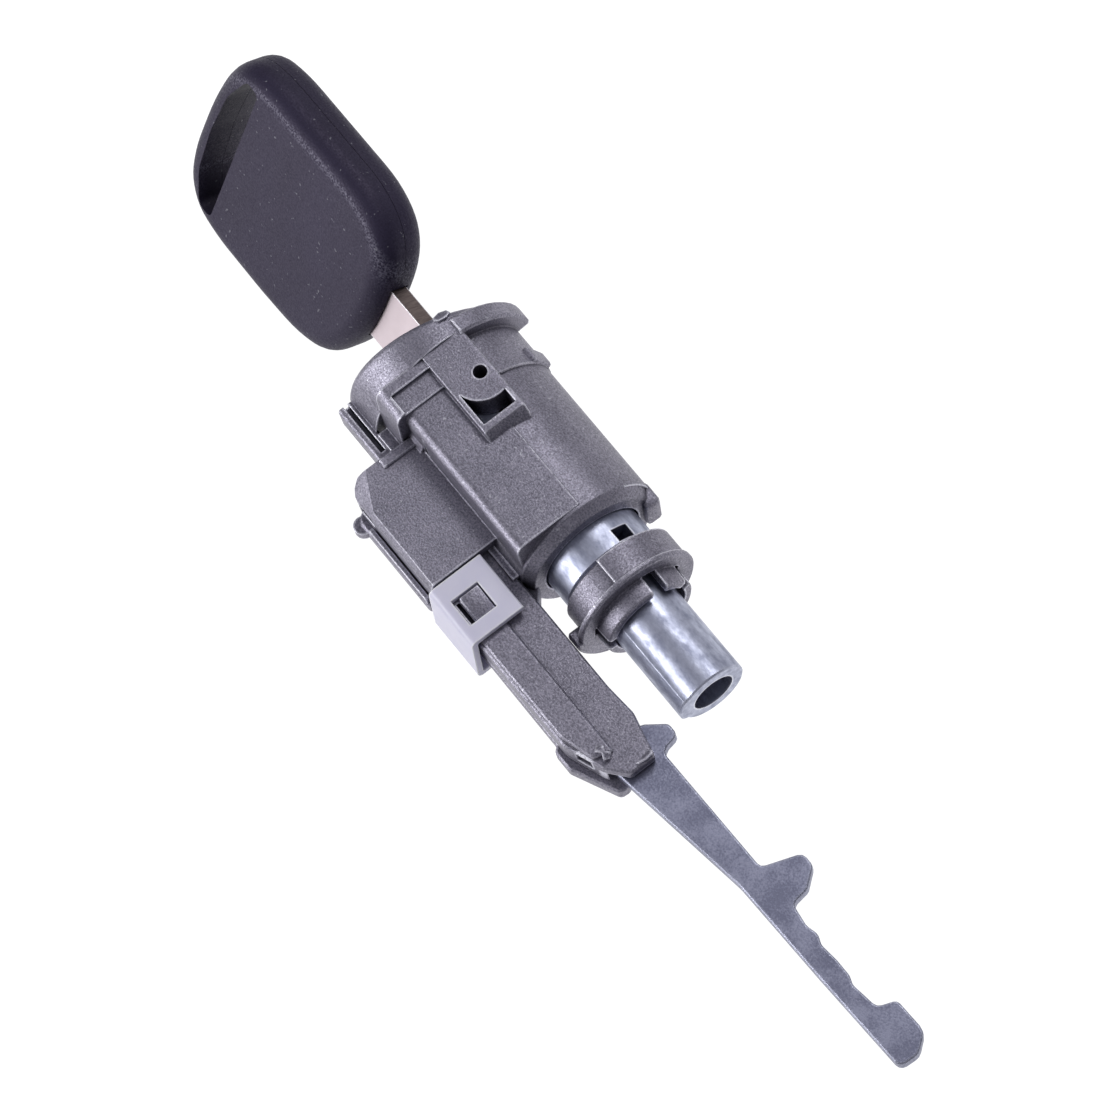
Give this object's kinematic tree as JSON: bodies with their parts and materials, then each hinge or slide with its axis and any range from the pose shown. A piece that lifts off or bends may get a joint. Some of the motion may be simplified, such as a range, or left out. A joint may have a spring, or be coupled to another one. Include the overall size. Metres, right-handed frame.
{
  "type": "ignition lock cylinder",
  "caption": "Die-cast ignition lock cylinder with its key in place, a clipped side box that carries a long barbed steering-lock lever, and a bored tail with a cam collar.",
  "frame": {"origin": "on the lock's axis, in the plane of the ear flange's rear face, which seats in the steering column housing", "axes": "+X along the lock's axis from the key to the tail, +Z square to the flat face of the lever, with the lever box on the -Y side"},
  "size_m": [0.1832, 0.0392, 0.0316],
  "materials": {
    "cast_zinc": "matte grained die-cast zinc",
    "bright_zinc": "bright die-cast zinc, smeared and scuffed",
    "plated_steel": "satin zinc-plated stamping",
    "spring_steel": "bright spring wire and ground pins",
    "nickel": "nickel-plated, sheared edges",
    "brass": "stamped brass",
    "nylon": "white moulded nylon",
    "black_plastic": "finely textured black plastic",
    "chip_glass": "smoked glass capsule"
  },
  "bodies": {
    "housing": {"lock_housing": "cast_zinc", "lever_cover": "cast_zinc", "lever_clip": "nylon", "lever_pivot_pin": "spring_steel", "lever_return_spring": "spring_steel"},
    "lever": {"lock_lever": "plated_steel"},
    "cylinder": {"lock_plug": "bright_zinc", "plug_face_cap": "plated_steel", "keyway_shutter": "plated_steel", "shutter_pin": "spring_steel", "wafer_1": "brass", "wafer_2": "brass", "wafer_3": "brass", "wafer_4": "brass", "wafer_5": "brass", "wafer_6": "brass", "wafer_7": "brass", "wafer_8": "brass", "wafer_spring_1": "spring_steel", "wafer_spring_2": "spring_steel", "wafer_spring_3": "spring_steel", "wafer_spring_4": "spring_steel", "wafer_spring_5": "spring_steel", "wafer_spring_6": "spring_steel", "wafer_spring_7": "spring_steel", "wafer_spring_8": "spring_steel", "sidebar": "spring_steel", "sidebar_spring_front": "spring_steel", "sidebar_spring_rear": "spring_steel", "tail_shaft": "bright_zinc", "cam_collar": "cast_zinc"},
    "key": {"key_blade": "nickel", "key_head_front": "black_plastic", "key_head_back": "black_plastic", "transponder_chip": "chip_glass"}
  },
  "joints": [
    {"name": "plug_turn", "type": "hinge", "parent": "housing", "child": "cylinder", "pos_m": [0, 0, 0], "axis": [1, 0, 0], "range_deg": [0, 105]},
    {"name": "lever_swing", "type": "hinge", "parent": "housing", "child": "lever", "pos_m": [0.031, -0.0166, -0.0006], "axis": [0, 0, 1], "range_deg": [0, 3.1], "deforming": ["lever_return_spring"]},
    {"name": "key_withdraw", "type": "slide", "parent": "cylinder", "child": "key", "axis": [-1, 0, 0], "range_m": [0, 0.045]}
  ],
  "couplings": [
    {"joint": "lever_swing", "follows": "plug_turn", "ratio": 0.029523}
  ]
}
